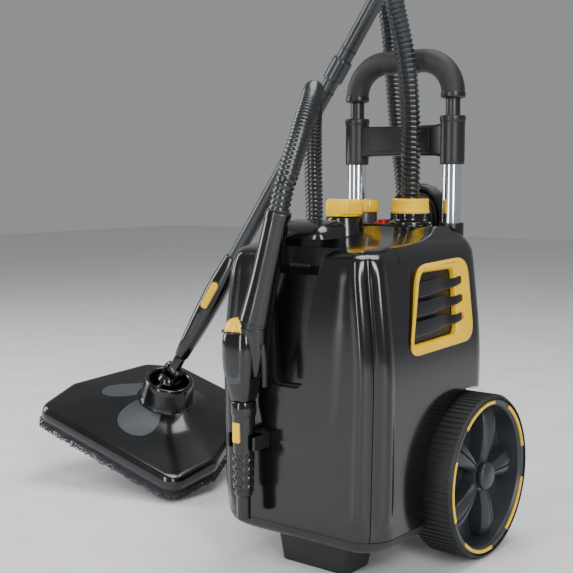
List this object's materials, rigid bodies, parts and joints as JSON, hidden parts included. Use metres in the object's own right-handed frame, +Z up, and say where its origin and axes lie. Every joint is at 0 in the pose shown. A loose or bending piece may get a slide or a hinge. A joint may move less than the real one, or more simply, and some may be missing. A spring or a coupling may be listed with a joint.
{
  "type": "steam cleaner",
  "caption": "Wheeled canister steam cleaner with telescoping handle, docked steam gun on a corrugated hose, and a floor mop on an extension wand.",
  "frame": {"origin": "centre of the front foot's flat underside, on the floor", "axes": "+Z up, -Y out of the machine's front, +X to the machine's right as seen by a viewer who looks along +Y"},
  "size_m": [0.7187, 0.4475, 0.9257],
  "materials": {
    "casing_black": "high-gloss black moulding",
    "base_black": "satin black moulding",
    "recess_grey": "satin dark grey moulding",
    "tank_steel": "brushed steel",
    "heater_alloy": "cast alloy",
    "sensor_white": "ceramic white",
    "valve_grey": "matt moulding",
    "pipe_brass": "plain drawn pipe",
    "accent_yellow": "glossy yellow moulding",
    "seal_red": "silicone rubber",
    "wheel_grey": "satin dark grey moulding",
    "tyre_black": "ribbed tread",
    "axle_steel": "plain turned",
    "tube_silver": "polished tube",
    "tube_black": "satin black coat",
    "bar_black": "satin black moulding",
    "grip_foam": "soft padded sleeve",
    "cord_black": "smooth jacket",
    "switch_red": "translucent red rocker",
    "screw_zinc": "zinc plated",
    "hose_black": "corrugated",
    "gun_black": "glossy black moulding",
    "trigger_black": "satin moulding",
    "wand_grey": "satin dark grey tube",
    "yoke_grey": "satin moulding",
    "mop_black": "glossy black moulding",
    "mop_band": "satin moulding",
    "pad_fabric": "looped terry cloth"
  },
  "bodies": {
    "machine": {"base_pan": "base_black", "front_foot": "base_black", "front_shell": "casing_black", "rear_shell": "casing_black", "top_deck": "casing_black", "recess_liner": "recess_grey", "gun_holster": "base_black", "boiler_tank": "tank_steel", "heating_element": "heater_alloy", "thermostat": "sensor_white", "solenoid_valve": "valve_grey", "steam_pipe": "pipe_brass", "filler_neck": "casing_black", "dial_collar": "base_black", "hose_collar": "casing_black", "hose_ring": "accent_yellow", "vent_frame_left": "accent_yellow", "vent_frame_right": "accent_yellow", "vent_grille_left": "base_black", "vent_grille_right": "base_black", "axle": "axle_steel", "axle_clips": "axle_steel", "guide_tubes": "base_black", "cord_hooks": "base_black", "cord_gland": "cord_black", "power_cord": "cord_black", "cord_hank": "cord_black", "cord_plug": "cord_black", "case_screws": "screw_zinc", "hose": "hose_black"},
    "wheel_left": {"wheel_left": "wheel_grey", "tyre_left": "tyre_black", "wheel_trim_left": "accent_yellow", "hub_cap_left": "wheel_grey"},
    "wheel_right": {"wheel_right": "wheel_grey", "tyre_right": "tyre_black", "wheel_trim_right": "accent_yellow", "hub_cap_right": "wheel_grey"},
    "handle": {"handle_tubes": "tube_silver", "crossbar": "bar_black"},
    "grip": {"grip_tubes": "tube_black", "grip": "grip_foam"},
    "filler_cap": {"filler_cap": "accent_yellow", "cap_seal": "seal_red"},
    "steam_dial": {"steam_dial": "accent_yellow"},
    "power_switch": {"power_switch": "switch_red"},
    "gun": {"gun_body": "gun_black", "gun_nozzle": "gun_black"},
    "trigger": {"gun_trigger": "trigger_black"},
    "gun_dome": {"gun_dome": "accent_yellow"},
    "gun_lock_button": {"gun_lock_button": "accent_yellow"},
    "nozzle_button": {"nozzle_button": "accent_yellow"},
    "wand": {"wand_lower": "wand_grey", "wand_upper": "wand_grey", "mop_neck": "mop_black"},
    "neck_button": {"neck_button": "accent_yellow"},
    "yoke": {"swivel_yoke": "yoke_grey"},
    "mop_head": {"mop_shell": "mop_black", "mop_base": "mop_band", "mop_pad": "pad_fabric"}
  },
  "joints": [
    {"name": "wheel_left_spin", "type": "hinge", "parent": "machine", "child": "wheel_left", "pos_m": [-0.121, 0.135, 0.1], "axis": [1, 0, 0], "continuous": true},
    {"name": "wheel_right_spin", "type": "hinge", "parent": "machine", "child": "wheel_right", "pos_m": [0.121, 0.135, 0.1], "axis": [1, 0, 0], "continuous": true},
    {"name": "handle_slide", "type": "slide", "parent": "machine", "child": "handle", "axis": [0, 0, 1], "range_m": [-0.025, 0.2]},
    {"name": "grip_slide", "type": "slide", "parent": "handle", "child": "grip", "axis": [0, 0, 1], "range_m": [-0.02, 0.22], "deforming": ["hose"]},
    {"name": "cap_turn", "type": "hinge", "parent": "machine", "child": "filler_cap", "pos_m": [-0.028, 0.075, 0.42], "axis": [0, 0, 1], "range_deg": [0, 270]},
    {"name": "dial_turn", "type": "hinge", "parent": "machine", "child": "steam_dial", "pos_m": [-0.036, 0.131, 0.42], "axis": [0, 0, 1], "range_deg": [0, 270]},
    {"name": "power_switch_press", "type": "slide", "parent": "machine", "child": "power_switch", "axis": [0, 0, -1], "range_m": [0, 0.003], "stiffness_N_per_m": 800, "springref_m": -0.002},
    {"name": "gun_release", "type": "slide", "parent": "machine", "child": "gun", "axis": [0, -1, 0], "range_m": [0, 0.06]},
    {"name": "trigger_pull", "type": "hinge", "parent": "gun", "child": "trigger", "pos_m": [-0.026, -0.09, 0.275], "axis": [0, 1, 0], "range_deg": [0, 6], "stiffness_Nm_per_rad": 3, "springref_deg": -5.73},
    {"name": "gun_dome_press", "type": "slide", "parent": "gun", "child": "gun_dome", "axis": [0, 0, -1], "range_m": [0, 0.0014], "stiffness_N_per_m": 600, "springref_m": -0.001},
    {"name": "gun_lock_press", "type": "slide", "parent": "gun", "child": "gun_lock_button", "axis": [-1, 0, 0], "range_m": [0, 0.002], "stiffness_N_per_m": 400, "springref_m": -0.001},
    {"name": "nozzle_button_press", "type": "slide", "parent": "gun", "child": "nozzle_button", "axis": [0, 1, 0], "range_m": [0, 0.002], "stiffness_N_per_m": 500, "springref_m": -0.001},
    {"name": "wand_lift", "type": "slide", "parent": "machine", "child": "wand", "axis": [0.5005, 0.1273, 0.8563], "range_m": [0, 0.05]},
    {"name": "neck_button_press", "type": "slide", "parent": "wand", "child": "neck_button", "axis": [-0.2135, 0.9767, -0.0204], "range_m": [0, 0.002], "stiffness_N_per_m": 600, "springref_m": -0.001},
    {"name": "mop_pitch", "type": "hinge", "parent": "wand", "child": "yoke", "pos_m": [-0.39805, 0.15268, 0.16493], "axis": [0.839, 0.1726, -0.5161], "range_deg": [-75, 0]},
    {"name": "mop_lean", "type": "hinge", "parent": "yoke", "child": "mop_head", "pos_m": [-0.411, 0.156, 0.145], "axis": [-0.072, 0.9752, 0.2092], "range_deg": [-32, 0]}
  ]
}
